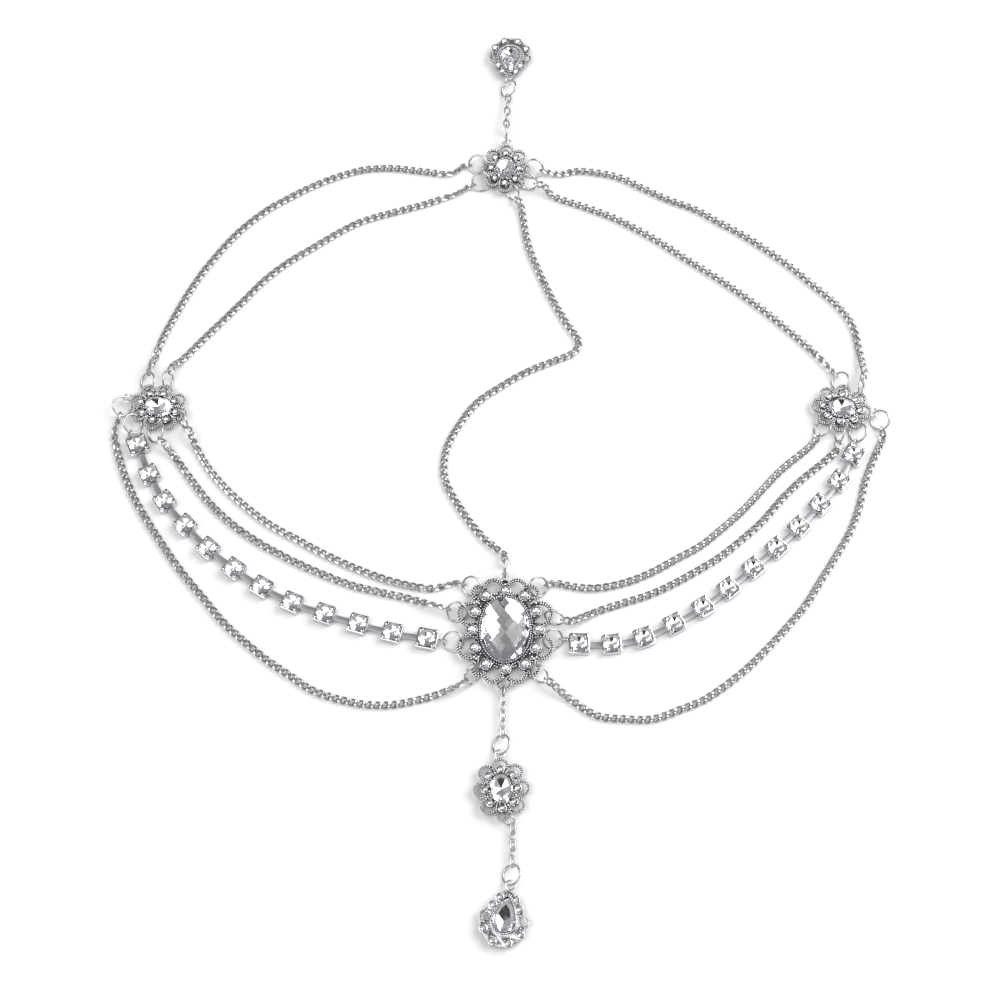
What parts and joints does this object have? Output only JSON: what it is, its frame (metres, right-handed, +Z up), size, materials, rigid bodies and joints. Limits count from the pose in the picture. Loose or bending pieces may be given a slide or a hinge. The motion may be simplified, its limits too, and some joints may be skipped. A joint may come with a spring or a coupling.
{
  "type": "draping chain headdress",
  "caption": "Head jewellery laid flat: pierced stone medallions joined by draping curb chains and claw-cup chains, with a pear-shaped drop at front and back.",
  "frame": {"origin": "on the floor under the middle of the whole headdress as it lies, the middle of its bounding box", "axes": "+Z up from the floor, +Y from the front of the head towards the drop at the back, +X to the right as the piece lies face up"},
  "size_m": [0.2192, 0.2788, 0.006],
  "materials": {
    "plated_castings": "bright silver-tone plating over die-cast metal",
    "plated_cups": "bright silver-tone plating over stamped brass",
    "plated_chain": "bright silver-tone plating over brass wire",
    "plated_rings": "bright silver-tone plating over round wire",
    "crystal_stones": "cut and polished, foil-backed crystal glass"
  },
  "bodies": {
    "root": {"centre_setting": "plated_castings", "centre_stone": "crystal_stones", "centre_accent_stones": "crystal_stones", "left_flower_setting": "plated_castings", "left_flower_stone": "crystal_stones", "left_flower_accents": "crystal_stones", "right_flower_setting": "plated_castings", "right_flower_stone": "crystal_stones", "right_flower_accents": "crystal_stones", "back_flower_setting": "plated_castings", "back_flower_stone": "crystal_stones", "back_flower_accents": "crystal_stones", "front_flower_setting": "plated_castings", "front_flower_stone": "crystal_stones", "front_flower_accents": "crystal_stones", "front_drop_setting": "plated_castings", "front_drop_stone": "crystal_stones", "front_drop_accents": "crystal_stones", "back_drop_setting": "plated_castings", "back_drop_stone": "crystal_stones", "back_drop_accents": "crystal_stones", "left_cup_chain": "plated_cups", "left_cup_stones": "crystal_stones", "right_cup_chain": "plated_cups", "right_cup_stones": "crystal_stones", "back_outer_chain_left": "plated_chain", "back_inner_chain_left": "plated_chain", "back_outer_chain_right": "plated_chain", "back_inner_chain_right": "plated_chain", "crown_chain": "plated_chain", "inner_chain_left": "plated_chain", "middle_chain_left": "plated_chain", "swag_chain_left": "plated_chain", "inner_chain_right": "plated_chain", "middle_chain_right": "plated_chain", "swag_chain_right": "plated_chain", "back_drop_chain": "plated_chain", "flower_chain": "plated_chain", "front_drop_chain": "plated_chain", "centre_rings": "plated_rings", "left_rings": "plated_rings", "right_rings": "plated_rings", "back_rings": "plated_rings", "back_drop_ring": "plated_rings", "flower_ring": "plated_rings", "flower_link": "plated_rings", "front_drop_ring": "plated_rings"}
  },
  "joints": []
}
